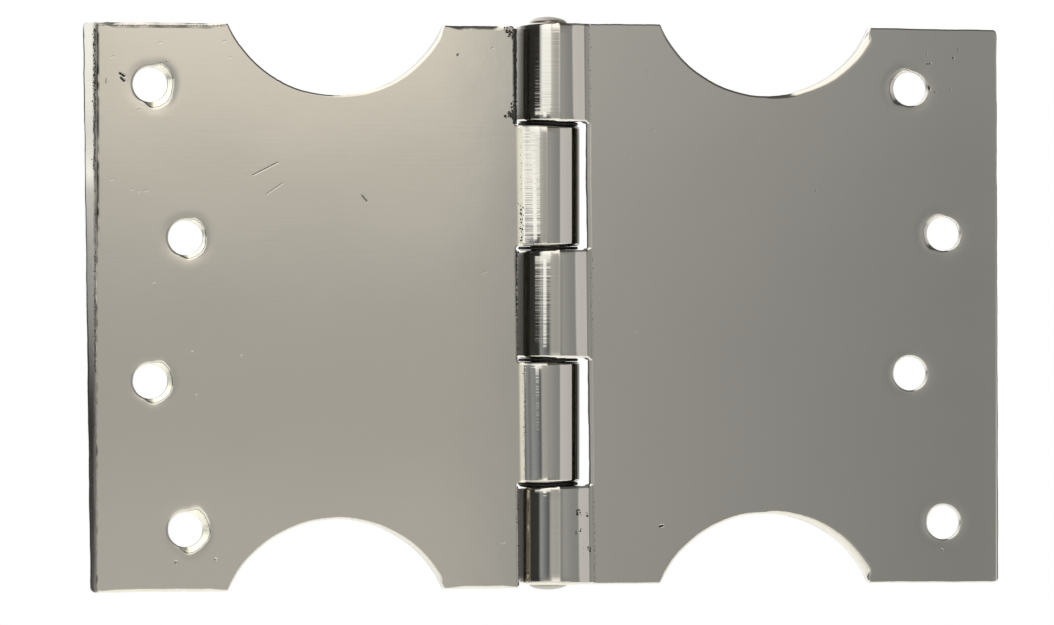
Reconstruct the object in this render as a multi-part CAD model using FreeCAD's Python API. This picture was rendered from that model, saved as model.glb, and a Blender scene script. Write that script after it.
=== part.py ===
import FreeCAD, Part
import math
import os

from FreeCAD import Vector

# A parliament hinge, lying open and flat. The pin stands along Z with its middle at the origin.
# The back faces of both leaves look towards -Y, and the countersunk front faces towards +Y.
# Each leaf is one blanked steel sheet whose tongues are swaged and rolled round the pin.
# All sizes are in millimetres.

# Leaf sheet
sheet = 2.5
leaf_height = 101.6
leaf_reach = 82.75          # pin axis to the end of the flat back face
closed_gap = 4.4            # space left between the leaves when they are folded shut
corner_round = 0.9          # outer corners of a leaf, in plan
rim_round = 0.35            # outer rims, rolled over by blanking and polishing

# The outer edge is sheared out of square, so its sloping wall widens from one end to the other
right_edge_narrow = 0.15
right_edge_wide = 0.6
left_edge_narrow = 0.7
left_edge_wide = 2.0
left_leaf_drop = 0.6        # the left leaf was cut this much lower on its knuckles

# Round bites in the top and bottom edges, which make the H shape
bite_chord = 39.0
bite_depth = 12.7
bite_from_pin = 39.4
cusp_round = 0.5            # corners where a bite or an end slot meets the leaf's edge

# Pin and knuckles
pin_dia = 6.35
pin_clearance = 0.05        # radial, so the knuckles turn on the pin
end_knuckle = 17.8
moving_knuckle = 21.8
knuckle_gap = 0.7
roll_start_r = 9.0          # the roll starts with this wider bend over the crest
roll_start_turn = 18.0      # degrees past the crest, where it tightens round the pin
swage_r = 3.5               # hollow bend between the flat back face and the crest
right_slot_past = 0.1       # bottom of a knuckle slot, measured from the start of the flat
left_slot_past = 0.5
slot_corner_round = 0.5
tip_seam = 0.35             # gap between the rolled tip and the front face

# Riveted pin ends
rivet_dia = 6.95
rivet_top_height = 1.4
rivet_bottom_height = 1.1

# Screw holes, in two staggered columns
hole_dia = 6.2
hole_inner_inset = 16.25    # end of the flat back face to the column
hole_outer_inset = 9.95
hole_end_row = 39.7         # from the middle of the leaf
hole_inner_row = 12.4
hole_outer_row = 13.2
sink_dia = 9.2              # countersink on the front face
sink_angle = 90.0
break_dia = 7.3             # torn mouth of a punched hole on the back face
break_depth = 0.45

# How far each torn mouth sits off its hole, from the top hole down, towards +X
left_mouth_shifts = (0.95, 0.3, 0.75, 1.1)
right_mouth_shifts = (-0.4, -0.4, 0.1, 0.15)

# Sizes worked out from the values above
half_height = leaf_height / 2
pin_r = pin_dia / 2
bore_r = pin_r + pin_clearance
barrel_r = bore_r + sheet
back_y = -(sheet + closed_gap / 2)
front_y = back_y + sheet
tip_y = front_y + tip_seam
start_turn = math.radians(roll_start_turn)
start_x = (roll_start_r - barrel_r) * math.sin(start_turn)
start_y = (roll_start_r - barrel_r) * math.cos(start_turn)
crest_rise = back_y - (start_y - roll_start_r)
swage_turn = math.acos(1 - crest_rise / (roll_start_r + swage_r))
swage_end = start_x + (roll_start_r + swage_r) * math.sin(swage_turn)
middle_knuckle = leaf_height - 2 * (end_knuckle + moving_knuckle) - 4 * knuckle_gap
bite_r = (bite_chord ** 2 / 4 + bite_depth ** 2) / (2 * bite_depth)
hole_inner_column = leaf_reach - hole_inner_inset
hole_outer_column = leaf_reach - hole_outer_inset
hole_r = hole_dia / 2
sink_r = sink_dia / 2
sink_depth = (sink_r - hole_r) / math.tan(math.radians(sink_angle / 2))
cutter = 2 * barrel_r       # reach of a cutting tool past what it cuts

# Heights of the knuckle ends: the end knuckle, then a moving one, then half of the middle one
end_knuckle_z = half_height - end_knuckle
moving_top_z = end_knuckle_z - knuckle_gap
moving_bottom_z = moving_top_z - moving_knuckle
middle_z = middle_knuckle / 2


def polygon_face(points):
    """A flat face through the points, in order."""
    return Part.Face(Part.makePolygon(points + points[:1]))


def prism_along_y(outline):
    """The (x, z) outline, pushed right through the hinge from back to front."""
    face = polygon_face([Vector(x, -cutter, z) for x, z in outline])
    return face.extrude(Vector(0, 2 * cutter, 0))


def on_circle(radius, turn):
    """The point at this radius whose direction is turned from -Y towards +X."""
    return Vector(radius * math.sin(turn), -radius * math.cos(turn), 0)


def arc(start, middle, end):
    return Part.Arc(start, middle, end).toShape()


def line(start, end):
    return Part.LineSegment(start, end).toShape()


def rolled_section():
    """The leaf seen along the pin: flat sheet, hollow swage bend, wide bend over the crest, curl round the pin.

    Each bend touches the next, and the inner face follows the outer one at the sheet's thickness.
    """
    start_centre = Vector(start_x, start_y, 0)
    swage_centre = Vector(swage_end, back_y - swage_r, 0)

    def swage_point(depth, turn):
        return swage_centre - on_circle(swage_r + depth, turn)

    def crest_point(depth, turn):
        return start_centre + on_circle(roll_start_r - depth, turn)

    def tip_point(radius):
        return Vector(math.sqrt(radius ** 2 - tip_y ** 2), tip_y, 0)

    edge_x = leaf_reach + cutter
    crest_middle = (swage_turn - start_turn) / 2
    back_edge = Vector(edge_x, back_y, 0)
    front_edge = Vector(edge_x, front_y, 0)
    edges = [
        line(back_edge, swage_point(0, 0)),
        arc(swage_point(0, 0), swage_point(0, swage_turn / 2), swage_point(0, swage_turn)),
        arc(crest_point(0, swage_turn), crest_point(0, crest_middle), crest_point(0, -start_turn)),
        arc(on_circle(barrel_r, -start_turn), Vector(-barrel_r, 0, 0), tip_point(barrel_r)),
        line(tip_point(barrel_r), tip_point(bore_r)),
        arc(tip_point(bore_r), Vector(-bore_r, 0, 0), on_circle(bore_r, -start_turn)),
        arc(crest_point(sheet, -start_turn), crest_point(sheet, crest_middle), crest_point(sheet, swage_turn)),
        arc(swage_point(sheet, swage_turn), swage_point(sheet, swage_turn / 2), swage_point(sheet, 0)),
        line(swage_point(sheet, 0), front_edge),
        line(front_edge, back_edge),
    ]
    return Part.Face(Part.Wire(edges))


def corner_edges(solid, heights, x_low, x_high):
    """The corners that run from back to front at these heights, between two distances from the pin."""
    found = []
    for edge in solid.Edges:
        start = edge.Vertexes[0].Point
        end = edge.Vertexes[-1].Point
        straight = abs(start.x - end.x) < 1e-6 and abs(start.z - end.z) < 1e-6
        level = min(abs(start.z - height) for height in heights) < 1e-6
        if straight and level and x_low < start.x < x_high:
            found.append(edge)
    return found


def blank(slots, slot_x, narrow, wide, shift):
    """The leaf's outline as a thick prism: sloping outer edge, bites and knuckle slots."""
    top = shift + half_height
    bottom = shift - half_height
    prism = prism_along_y([
        (-cutter, bottom), (leaf_reach + wide, bottom), (leaf_reach + narrow, top), (-cutter, top),
    ])
    for edge_z, side in ((top, 1), (bottom, -1)):
        centre = Vector(bite_from_pin, -cutter, edge_z + side * (bite_r - bite_depth))
        prism = prism.cut(Part.makeCylinder(bite_r, 2 * cutter, centre, Vector(0, 1, 0)))
    for low, high in slots:
        slot = prism_along_y([(-2 * cutter, low), (slot_x, low), (slot_x, high), (-2 * cutter, high)])
        slot = slot.makeFillet(slot_corner_round, corner_edges(slot, (low, high), 0, leaf_reach))
        prism = prism.cut(slot)
    prism = prism.makeFillet(cusp_round, corner_edges(prism, (top, bottom), 0, leaf_reach))
    return prism.makeFillet(corner_round, corner_edges(prism, (top, bottom), leaf_reach, 2 * leaf_reach))


def screw_hole(x, z, mouth_shift):
    """One screw hole: straight throat, countersink in front, torn and off-centre mouth at the back."""
    forward = Vector(0, 1, 0)
    throat = Part.makeCylinder(hole_r, sheet, Vector(x, back_y, z), forward)
    sink_start = Vector(x, front_y - sink_depth, z)
    sink = Part.makeCone(hole_r, sink_r, sink_depth, sink_start, forward)
    mouth = Part.makeCircle(break_dia / 2, Vector(x + mouth_shift, back_y, z), forward)
    neck = Part.makeCircle(hole_r, Vector(x, back_y + break_depth, z), forward)
    torn = Part.makeLoft([Part.Wire([mouth]), Part.Wire([neck])], True, True)
    return throat.fuse([sink, torn])


def outer_rim(solid):
    """The edges round the back face, apart from the outer edge, and round the knuckle ends."""
    found = []
    for edge in solid.Edges:
        box = edge.BoundBox
        on_back = abs(box.YMin - back_y) < 1e-6 and abs(box.YMax - back_y) < 1e-6
        across = box.XLength > 1e-6 and box.XMax < leaf_reach
        level = box.ZLength < 1e-6 and isinstance(edge.Curve, Part.Circle)
        if on_back and across or level and abs(edge.Curve.Radius - barrel_r) < 1e-6:
            found.append(edge)
    return found


def leaf(slots, slot_past, narrow, wide, shift, mouth_shifts):
    """A leaf that reaches from the pin towards +X, with its knuckles where the slots are not."""
    section = rolled_section()
    section.translate(Vector(0, 0, -leaf_height))
    outline = blank(slots, swage_end + slot_past, narrow, wide, shift)
    solid = section.extrude(Vector(0, 0, 2 * leaf_height)).common(outline)
    solid = solid.makeFillet(rim_round, outer_rim(solid))
    slope = polygon_face([
        Vector(leaf_reach, back_y, -leaf_height),
        Vector(leaf_reach + cutter, back_y, -leaf_height),
        Vector(leaf_reach + cutter, back_y + cutter, -leaf_height),
    ])
    solid = solid.cut(slope.extrude(Vector(0, 0, 2 * leaf_height)))
    hole_places = (
        (hole_inner_column, hole_end_row),
        (hole_outer_column, hole_outer_row),
        (hole_inner_column, -hole_inner_row),
        (hole_outer_column, -hole_end_row),
    )
    holes = [screw_hole(x, z + shift, side) for (x, z), side in zip(hole_places, mouth_shifts)]
    return solid.cut(holes).removeSplitter()


def pin():
    """The pin, with a low riveted dome at each end that holds the end knuckles."""
    rivet_r = rivet_dia / 2

    def dome(apex_z, base_z):
        height = apex_z - base_z
        dome_r = (rivet_r ** 2 + height ** 2) / (2 * abs(height))
        centre_z = apex_z - math.copysign(dome_r, height)
        half = math.asin(rivet_r / dome_r) / 2
        middle = Vector(dome_r * math.sin(half), 0, centre_z + math.copysign(dome_r * math.cos(half), height))
        return arc(Vector(rivet_r, 0, base_z), middle, Vector(0, 0, apex_z))

    top_apex = half_height + rivet_top_height
    bottom_apex = -half_height - rivet_bottom_height
    edges = [
        line(Vector(0, 0, bottom_apex), Vector(0, 0, top_apex)),
        dome(top_apex, half_height),
        line(Vector(rivet_r, 0, half_height), Vector(pin_r, 0, half_height)),
        line(Vector(pin_r, 0, half_height), Vector(pin_r, 0, -half_height)),
        line(Vector(pin_r, 0, -half_height), Vector(rivet_r, 0, -half_height)),
        dome(bottom_apex, -half_height),
    ]
    profile = Part.Face(Part.Wire(Part.__sortEdges__(edges)))
    return profile.revolve(Vector(0, 0, 0), Vector(0, 0, 1), 360)


# The right leaf keeps the end and middle knuckles, so its slots take the moving ones
moving_slots = (
    (moving_bottom_z - knuckle_gap, moving_top_z + knuckle_gap),
    (-moving_top_z - knuckle_gap, -moving_bottom_z + knuckle_gap),
)
right_leaf = leaf(moving_slots, right_slot_past, right_edge_narrow, right_edge_wide, 0,
                  right_mouth_shifts)

# The left leaf is the same blank turned half round, cut for the two moving knuckles
past_end = half_height + cutter
fixed_slots = (
    (moving_top_z, past_end),
    (-middle_z - knuckle_gap, middle_z + knuckle_gap),
    (-past_end, -moving_top_z),
)
left_leaf = leaf(fixed_slots, left_slot_past, left_edge_narrow, left_edge_wide, left_leaf_drop,
                 [-side for side in reversed(left_mouth_shifts)])
left_leaf.rotate(Vector(0, 0, 0), Vector(0, 1, 0), 180)

os.makedirs("parts", exist_ok=True)
for name, shape in (("right_leaf", right_leaf), ("left_leaf", left_leaf), ("pin", pin())):
    solid = shape.Solids[0]
    print(name, "solids", len(shape.Solids), "valid", shape.isValid(), "volume", round(shape.Volume, 1))
    solid.exportStep(f"parts/{name}.step")
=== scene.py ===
import math

import bpy
import numpy as np
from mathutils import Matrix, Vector
from mathutils.geometry import delaunay_2d_cdt
from mathutils.kdtree import KDTree


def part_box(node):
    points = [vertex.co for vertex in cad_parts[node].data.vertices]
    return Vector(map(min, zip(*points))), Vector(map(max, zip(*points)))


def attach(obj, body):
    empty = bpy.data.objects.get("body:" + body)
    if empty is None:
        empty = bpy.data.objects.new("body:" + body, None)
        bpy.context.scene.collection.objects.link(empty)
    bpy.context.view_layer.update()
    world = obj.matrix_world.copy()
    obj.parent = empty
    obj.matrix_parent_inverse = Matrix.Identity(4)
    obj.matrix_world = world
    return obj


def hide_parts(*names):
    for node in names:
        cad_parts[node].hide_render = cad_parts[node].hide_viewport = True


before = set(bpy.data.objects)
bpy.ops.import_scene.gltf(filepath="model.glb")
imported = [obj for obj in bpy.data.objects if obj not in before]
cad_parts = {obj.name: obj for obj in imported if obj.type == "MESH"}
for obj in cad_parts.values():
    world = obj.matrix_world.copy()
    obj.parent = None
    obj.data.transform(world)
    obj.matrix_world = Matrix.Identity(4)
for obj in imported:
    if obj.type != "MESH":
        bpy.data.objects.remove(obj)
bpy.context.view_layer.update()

# A parliament hinge seen from the back. The pin stands along Z, the back faces look towards -Y.
# Sizes are in millimetres until a piece is finished.
MM = 0.001
pin_low, pin_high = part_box("pin")
rng = np.random.default_rng(11)

# Sheet and outline of a leaf
sheet = 2.5
leaf_height = 101.6
half_height = leaf_height / 2
leaf_reach = 82.75
back_y = -4.7
corner_round = 0.9
cusp_round = 0.5
tip_round = 0.7
left_leaf_drop = 0.6
bite_chord = 39.0
bite_depth = 12.7
bite_from_pin = 39.4
bite_r = (bite_chord ** 2 / 4 + bite_depth ** 2) / (2 * bite_depth)

# Roll of the knuckles
barrel_r = 5.725
roll_start_r = 10.0
start_turn = math.radians(16.0)
swage_r = 4.0
start_x = (roll_start_r - barrel_r) * math.sin(start_turn)
start_y = (roll_start_r - barrel_r) * math.cos(start_turn)
swage_turn = math.acos(1 - (back_y - start_y + roll_start_r) / (roll_start_r + swage_r))
swage_end = start_x + (roll_start_r + swage_r) * math.sin(swage_turn)
swage_run = swage_r * swage_turn
crest_run = roll_start_r * (swage_turn + start_turn)
tip_gap_degrees = 72.0
curl_turn = math.radians(360 - tip_gap_degrees) - start_turn
tip_u = swage_end - swage_run - crest_run - barrel_r * curl_turn

# Heights of the knuckle ends
knuckle_gap = 0.7
end_knuckle_long = 17.8
moving_knuckle_long = 21.8
end_knuckle_z = half_height - end_knuckle_long
moving_top_z = end_knuckle_z - knuckle_gap
moving_bottom_z = moving_top_z - moving_knuckle_long
middle_z = moving_bottom_z - knuckle_gap
slot_corner_round = 0.5

# Screw holes
hole_r = 3.1
sink_r = 4.6
sink_depth = 1.5
hole_places = ((66.5, 39.7), (72.8, 13.2), (66.5, -12.4), (72.8, -39.7))
# Rings round a hole's mouth on the back face: how far outside the mouth, and how deep
mouth_rings = ((0.62, 0.0), (0.4, 0.0), (0.2, 0.008), (0.1, 0.02), (0.04, 0.04), (0.0, 0.07))
tear_start = 0.11

# Signs of hand work: rims rolled by the buffing wheel, the crest's ridge, slot ends that lean under
plain_rim = 0.25
knuckle_rim = 0.4
# From the flat face to the wall, as shares of the rim's width
rim_shares = (1.0, 1.0, 0.82, 0.64, 0.47, 0.32, 0.19, 0.08, 0.02, 0.0)
ridge_height = 0.061
ridge_fade = 0.8
ridge_shift = 0.02
hole_dip = 0.04
hole_dip_reach = 2.0
knuckle_dip = 0.08
knuckle_dip_reach = 1.6
edge_break = 0.06
front_round = 0.22
front_guard = 0.32
back_guard = 0.08
sink_guard = 0.3
right_slot_lean = 0.25
left_slot_lean = 0.3
left_slot_set_back = 0.2

# The set of each leaf: bend line out of place and out of square, a droop, and both pressed a little flat
right_bend_shift = 0.4
left_bend_shift = -0.6
bend_lean = -0.010
right_droop = 0.006
pressed = 0.9885


def ridge_u(side):
    """Where the crest's ridge lies along the blank: a hair to one side of the crest's own middle."""
    return swage_end - swage_run - roll_start_r * swage_turn + side * ridge_shift


def worn_edge(line, into):
    """The cut line with the small unevenness of a filed and buffed edge."""
    run = np.cumsum(np.linalg.norm(line - np.roll(line, 1, axis=0), axis=1))
    grit = rng.normal(0, 0.012, len(run))
    waver = 0.03 * np.sin(run / 2.9) + 0.02 * np.sin(run / 1.1 + 1) + grit
    return line + into * np.clip(waver + 0.05, 0, 1)[:, None]


def smooth(t):
    """A soft step from 0 to 1."""
    t = np.clip(t, 0, 1)
    return t * t * (3 - 2 * t)


def linear(hex_colour):
    """An sRGB hex colour as linear red, green, blue and alpha."""
    parts = [int(hex_colour[i:i + 2], 16) / 255 for i in (1, 3, 5)]
    return tuple(c / 12.92 if c <= 0.04045 else ((c + 0.055) / 1.055) ** 2.4 for c in parts) + (1.0,)


def add(tree, kind, inputs=(), **settings):
    """Adds one node, with its settings, and its inputs as values or as links from other nodes' sockets."""
    node = tree.nodes.new(kind)
    for name, value in settings.items():
        setattr(node, name, value)
    for key, value in dict(inputs).items():
        if isinstance(value, bpy.types.NodeSocket):
            tree.links.new(value, node.inputs[key])
        else:
            node.inputs[key].default_value = value
    return node


def outline(slots, slot_x, narrow, wide, shift):
    """The flat blank's outer edge, anticlockwise, as corners with a radius: (u, z, radius)."""
    top = half_height + shift
    bottom = shift - half_height
    corners = [(leaf_reach + wide, bottom, corner_round), (leaf_reach + narrow, top, corner_round)]

    def bite(edge_z, side):
        centre_z = edge_z + side * (bite_r - bite_depth)
        half = math.asin(bite_chord / 2 / bite_r)
        turns = np.linspace(-half, half, 48) * side
        for k, turn in enumerate(turns):
            u = bite_from_pin - bite_r * math.sin(turn)
            z = centre_z - side * bite_r * math.cos(turn)
            corners.append((u, z, cusp_round if k in (0, len(turns) - 1) else 0))

    bite(top, 1)
    corners.append((slot_x, top, cusp_round) if slots[0][1] > top else (tip_u, top, tip_round))
    for low, high in slots:
        if high < top:
            corners += [(tip_u, high, tip_round), (slot_x, high, slot_corner_round)]
        if low > bottom:
            corners += [(slot_x, low, slot_corner_round), (tip_u, low, tip_round)]
    corners.append((slot_x, bottom, cusp_round) if slots[-1][0] < bottom else (tip_u, bottom, tip_round))
    bite(bottom, -1)
    return corners


def rounded(corners):
    """The corners as one closed line, rounded, with points close together where the sheet is rolled."""
    points = np.array([c[:2] for c in corners])
    radii = [c[2] for c in corners]
    line = []
    for k, (p, radius) in enumerate(zip(points, radii)):
        before = points[k - 1] - p
        after = points[(k + 1) % len(points)] - p
        before /= np.linalg.norm(before)
        after /= np.linalg.norm(after)
        if radius == 0:
            line.append(p)
            continue
        half = math.acos(np.clip(before @ after, -1, 1)) / 2
        middle = (before + after) / np.linalg.norm(before + after)
        centre = p + middle * radius / math.sin(half)
        start = p + before * radius / math.tan(half) - centre
        end = p + after * radius / math.tan(half) - centre
        for t in np.linspace(0, 1, 7):
            turn = start * (1 - t) + end * t
            line.append(centre + turn / np.linalg.norm(turn) * radius)
    fine = []
    for k, p in enumerate(line):
        q = line[(k + 1) % len(line)]
        level = abs(p[1] - q[1]) < 1e-6
        step = 0.3 if level and min(p[0], q[0]) < swage_end + 0.5 else 0.7
        count = max(1, math.ceil(np.linalg.norm(q - p) / step))
        fine += [p + (q - p) * j / count for j in range(count)]
    return np.array(fine)


def inward(line):
    """Unit directions into the sheet along an anticlockwise closed line."""
    along = np.roll(line, -1, axis=0) - np.roll(line, 1, axis=0)
    along /= np.linalg.norm(along, axis=1)[:, None]
    return np.stack([-along[:, 1], along[:, 0]], axis=1)


def contains(line, points):
    """Which points lie inside a closed line."""
    found = np.zeros(len(points), bool)
    for a, b in zip(line, np.roll(line, -1, axis=0)):
        crosses = (a[1] > points[:, 1]) != (b[1] > points[:, 1])
        if crosses.any():
            at = a[0] + (points[:, 1] - a[1]) * (b[0] - a[0]) / (b[1] - a[1] if b[1] != a[1] else 1)
            found ^= crosses & (points[:, 0] < at)
    return found


class Leaf:
    """One leaf as a flat blank: a back face, a front face and walls, with u along the sheet from the pin.

    narrow and wide are how far the outer wall stands out at its two ends. bevel holds the slopes of the
    buffed outer end, in degrees, and bevel_back where it starts. mouths is how far each hole is torn open,
    and tear_degrees where. The rolls are widths of rounded rims. side is 1 on the right, -1 on the left.
    """

    def __init__(self, slots, slot_x, narrow, wide, shift, mouths, tear_degrees, bevel, bevel_back,
                 edge_roll, bite_rolls, edge_rolls, side, marks):
        self.slots = slots
        self.slot_x = slot_x
        self.shift = shift
        self.mouths = mouths
        self.tear_lean, self.tear_reach = (math.radians(turn) for turn in tear_degrees)
        self.bevel = bevel
        self.bevel_u = leaf_reach - bevel_back
        self.edge_roll = edge_roll
        self.bite_rolls = bite_rolls
        self.edge_rolls = edge_rolls
        self.side = side
        self.marks = marks
        cut = rounded(outline(slots, slot_x, narrow, wide, shift))
        self.into = inward(cut)
        self.edge = worn_edge(cut, self.into)
        # The left leaf's lowest slot edge stands back, clear of the right leaf when the hinge opens past flat
        lowest = (side < 0) & (np.abs(cut[:, 0] - slot_x) < 0.6) & (cut[:, 1] > moving_top_z - 1)
        self.tight = lowest * smooth((self.into[:, 0] - 0.2) / 0.75)
        self.edge[:, 0] += left_slot_set_back * self.tight
        self.holes = [np.array([u, z + shift]) for u, z in hole_places]
        self.points = []
        self.faces = []
        self.dirt_and_shade = []
        self.torn_and_highlight = []

    def add_points(self, uz, depth, dirt_and_shade=0.0, torn_and_highlight=0.0):
        """Adds points of the blank at a depth below its back face, and returns their numbers."""
        start = len(self.points)
        depth = np.broadcast_to(depth, (len(uz),))
        self.points += [(u, back_y + t, z) for (u, z), t in zip(uz, depth)]
        self.dirt_and_shade += list(np.broadcast_to(dirt_and_shade, (len(uz),)))
        self.torn_and_highlight += list(np.broadcast_to(torn_and_highlight, (len(uz),)))
        return np.arange(start, start + len(uz))

    def mouth(self, k, turn):
        """Radius of hole k's torn mouth on the back face, seen from the hole's own centre."""
        turn = turn - math.pi + self.tear_lean
        away = np.abs(np.arctan2(np.sin(turn), np.cos(turn)))
        lobes = 0.92 + 0.08 * np.cos(4 * turn + k)
        return hole_r + 0.03 + self.mouths[k] * lobes * smooth((self.tear_reach - away) / 0.6)

    def relief(self, uz):
        """How far the polished back face lies below its nominal plane, and how dark it is made: dirt, and a
        darker part of the bevel.
        """
        u, z = uz[:, 0], uz[:, 1]
        # The buffed outer end slopes away, at one angle in the upper part of the photo and another below
        lower = self.bevel[1] + 0.9 * np.sin((z - 14) / 8) + 2.4 * smooth(z / 25) * (self.side < 0)
        slope = self.bevel[0] + (lower - self.bevel[0]) * smooth((z + 18) / 22)
        depth = np.maximum(u - self.bevel_u, 0) * np.tan(np.radians(slope))
        # A faint ridge along the crest of each knuckle, left between two passes of the polishing wheel
        on_crest = u < swage_end - swage_run
        depth -= ridge_height * np.exp(-np.abs(u - ridge_u(self.side)) / ridge_fade) * on_crest
        # Long faint waves in the flat
        flat = smooth((u - swage_end) / 6)
        depth += flat * 0.006 * np.sin(u / 6.1 + 0.7) * np.cos(z / 5.3 + 1.1)
        # The face dips towards each hole, and towards the ends of the knuckles
        for k, hole in enumerate(self.holes):
            away = uz - hole
            turn = np.arctan2(away[:, 1], away[:, 0])
            far = np.hypot(away[:, 0], away[:, 1]) - self.mouth(k, turn)
            depth += hole_dip * np.clip(1 - far / hole_dip_reach, 0, 1) ** 2
        ends = np.full(len(u), 99.0)
        for low, high in self.slots:
            ends = np.minimum(ends, np.minimum(np.abs(z - low), np.abs(z - high)))
        ends = np.minimum(ends, np.abs(np.abs(z - self.shift) - half_height))
        dip = knuckle_dip * np.clip(1 - ends / knuckle_dip_reach, 0, 1) ** 3
        depth += dip * smooth((swage_end - 1.5 - u) / 3)
        dirt_and_shade = np.zeros(len(u))
        if self.side < 0:
            # A ragged band of dirt where the flat meets the bevel, and the bevel darker over its lower part
            out = u - self.bevel_u
            patchy = 0.6 + 0.3 * smooth((0.1 - out) / 0.2)
            patchy = patchy + 0.08 * np.sin(z / 3.7) + 0.1 * np.sin(z / 1.3 + 1)
            reach = 0.12 + 0.3 * smooth((-8 - z) / 8) + 0.08 * np.sin(z / 0.45) + 0.08 * np.sin(z / 1.9)
            band = patchy * smooth((out + reach) / 0.2) * smooth((0.85 - out) / 0.8)
            bevel_darkening = 0.28 * smooth((z + 24) / 5) * (1 - 0.65 * smooth((z + 8) / 20))
            dirt_and_shade = np.clip(np.maximum(band, bevel_darkening * smooth(out / 0.2)), 0, 1)
        for start, end, width, deep, dirt in self.marks:
            a, b = np.array(start), np.array(end)
            t = np.clip(((uz - a) @ (b - a)) / max((b - a) @ (b - a), 1e-9), 0, 1)
            far = np.linalg.norm(uz - a - t[:, None] * (b - a), axis=1)
            cut = np.clip(1 - far / width, 0, 1)
            depth += deep * cut
            dirt_and_shade = np.maximum(dirt_and_shade, dirt * smooth(cut * 2))
        return depth, dirt_and_shade

    def rim(self):
        """Width and depth of the rolled rim at each point of the outer edge."""
        u, z = self.edge[:, 0], self.edge[:, 1]
        into = self.into
        width = np.where(u < swage_end, knuckle_rim, plain_rim)
        ends = half_height - np.abs(z - self.shift)
        beyond = np.clip(u - self.bevel_u, 0.2, 0.25 + 0.5 * np.clip(ends - 0.3, 0, 9))
        width = np.where((u > self.bevel_u) & (into[:, 0] < -0.9), beyond, width)
        for side in (1, -1):
            centre = np.array([bite_from_pin, self.shift + side * (half_height + bite_r - bite_depth)])
            on = np.abs(np.hypot(*(self.edge - centre).T) - bite_r) < 0.2
            cusp = np.abs(z - self.shift - side * half_height)
            away, near = self.bite_rolls
            roll = np.where(into[:, 0] > 0, away, near)
            roll = roll * np.abs(into[:, 0]) ** 0.7 + 0.35 * (1 - np.abs(into[:, 0]) ** 0.7)
            width = np.where(on, plain_rim + (roll - plain_rim) * smooth((cusp - 0.35) / 1.8), width)
            level = (np.abs(into[:, 1] + side) < 0.05) & (u > self.slot_x + 0.6) & (u < self.bevel_u)
            level &= np.abs(z - self.shift - side * half_height) < 0.3
            ends = np.minimum(np.abs(np.abs(u - bite_from_pin) - bite_chord / 2), self.bevel_u - u)
            ends = np.minimum(ends, u - self.slot_x)
            wide = self.edge_rolls[0] if side > 0 else self.edge_rolls[1]
            width = np.where(level, plain_rim + (wide - plain_rim) * smooth((ends - 0.6) / 3), width)
        fall = np.where(u > self.bevel_u, self.edge_roll[1], np.minimum(0.25 + 0.1 * width, width))
        fall = np.where((u > bite_from_pin - bite_chord) & (u < self.bevel_u), 0.22 * width, fall)
        fall = fall + (0.31 - fall) * smooth((width - 0.5) / 0.6)
        level = (np.abs(into[:, 0]) < 0.05) & (u > self.slot_x + 0.6) & (u < self.bevel_u)
        fall = np.where(level, 0.27 * width, fall)
        lip = self.slot_lip()
        return np.where(lip, 0.65, width), np.where(lip, 0.1, fall)

    def burnish_and_highlight(self, points):
        """How bright the hollow where the left leaf's tongues leave the flat is painted: metal rubbed by the
        wheel, and a painted highlight.
        """
        u, y = points.T[:2]
        hollow = smooth((swage_end + 0.1 - u) / 0.2) * smooth((u - swage_end + 1.0) / 0.2)
        return 0.8 * hollow * (y < back_y + 0.3) * (self.side < 0)

    def slot_lip(self):
        """Which edge points lie on the ends of the right leaf's slots."""
        return (self.side > 0) & (np.abs(self.edge[:, 0] - self.slot_x) < 0.4) & (self.into[:, 0] > 0.95)

    def ring_wall(self, rings, anticlockwise):
        """Faces between rings of equal length, each ring joined to the next."""
        for a, b in zip(rings, rings[1:]):
            for i in range(len(a)):
                j = (i + 1) % len(a)
                quad = (a[i], a[j], b[j], b[i])
                self.faces.append(quad if anticlockwise else quad[::-1])

    def fill(self, loops, uz_loops, spread, depth_of, flip):
        """Triangles between the outer loop, the hole loops and the spread points."""
        coords = []
        ids = []
        edges = []
        for loop, uz in zip(loops, uz_loops):
            start = len(coords)
            coords += [Vector(p) for p in uz]
            ids += list(loop)
            edges += [(start + i, start + (i + 1) % len(loop)) for i in range(len(loop))]
        near = KDTree(len(coords))
        for i, p in enumerate(coords):
            near.insert((p.x, p.y, 0), i)
        near.balance()
        inside = contains(uz_loops[0], spread)
        for uz in uz_loops[1:]:
            inside &= ~contains(uz, spread)
        keep = np.array([p for p in spread[inside] if near.find((p[0], p[1], 0))[2] > 0.12])
        depth, dirt_and_shade = depth_of(keep)
        ids += list(self.add_points(keep, depth, dirt_and_shade))
        coords += [Vector(p) for p in keep]
        verts, _, faces, origin, _, _ = delaunay_2d_cdt(coords, edges, [], 0, 1e-7)
        back = [ids[o[0]] for o in origin]
        flat = np.array([(v.x, v.y) for v in verts])
        centres = np.array([flat[list(f)].mean(axis=0) for f in faces])
        ok = contains(uz_loops[0], centres)
        for uz in uz_loops[1:]:
            ok &= ~contains(uz, centres)
        for face, good in zip(faces, ok):
            if good:
                ring = [back[i] for i in face]
                self.faces.append(tuple(ring[::-1] if flip else ring))

    def build(self):
        """All points and faces of the blank: rims and walls first, then the two faces between them."""
        into = self.into
        width, fall = self.rim()
        outer = self.edge[:, 0] > self.bevel_u
        # Walls by the slots are darkened: dirt, and shade painted into the gaps between the knuckles
        slotted = self.edge[:, 0] < swage_end + 0.5
        gap_dirt_and_shade = np.where(slotted, 0.95, 0.0)
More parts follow.
